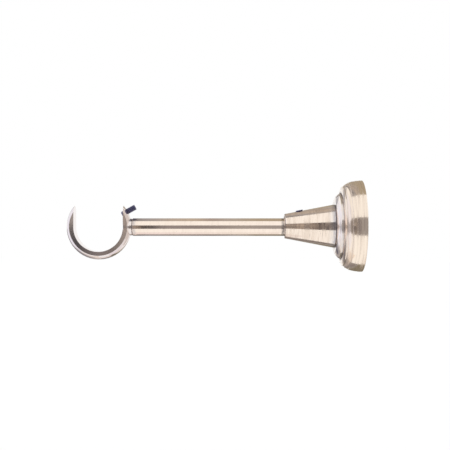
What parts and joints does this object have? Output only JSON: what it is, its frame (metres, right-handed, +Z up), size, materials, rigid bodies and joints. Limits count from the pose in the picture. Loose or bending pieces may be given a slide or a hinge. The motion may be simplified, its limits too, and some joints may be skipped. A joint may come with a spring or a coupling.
{
  "type": "curtain pole bracket",
  "caption": "Wall bracket for a curtain pole: a round arm from a stepped rose carries an open-topped cup that the pole drops into, locked by a grub screw.",
  "frame": {"origin": "on the wall, at the middle of the rose's back rim and of the wall plate's back face", "axes": "+X into the wall, so the arm and the cup reach out along -X; +Y along the curtain pole; +Z up, the way the pole is lifted out of the cup"},
  "size_m": [0.1534, 0.0476, 0.0476],
  "materials": {
    "antique_brass": "fine turned satin with a thin darker patina in the recesses",
    "black_steel": "black oxide",
    "zinc_steel": "bright zinc plate"
  },
  "bodies": {
    "root": {"cup": "antique_brass", "pole_screw": "black_steel", "cup_screw": "zinc_steel", "arm": "antique_brass", "socket": "antique_brass", "arm_screw": "black_steel", "rose": "antique_brass", "wall_plate": "zinc_steel", "plate_stud": "zinc_steel"}
  },
  "joints": []
}
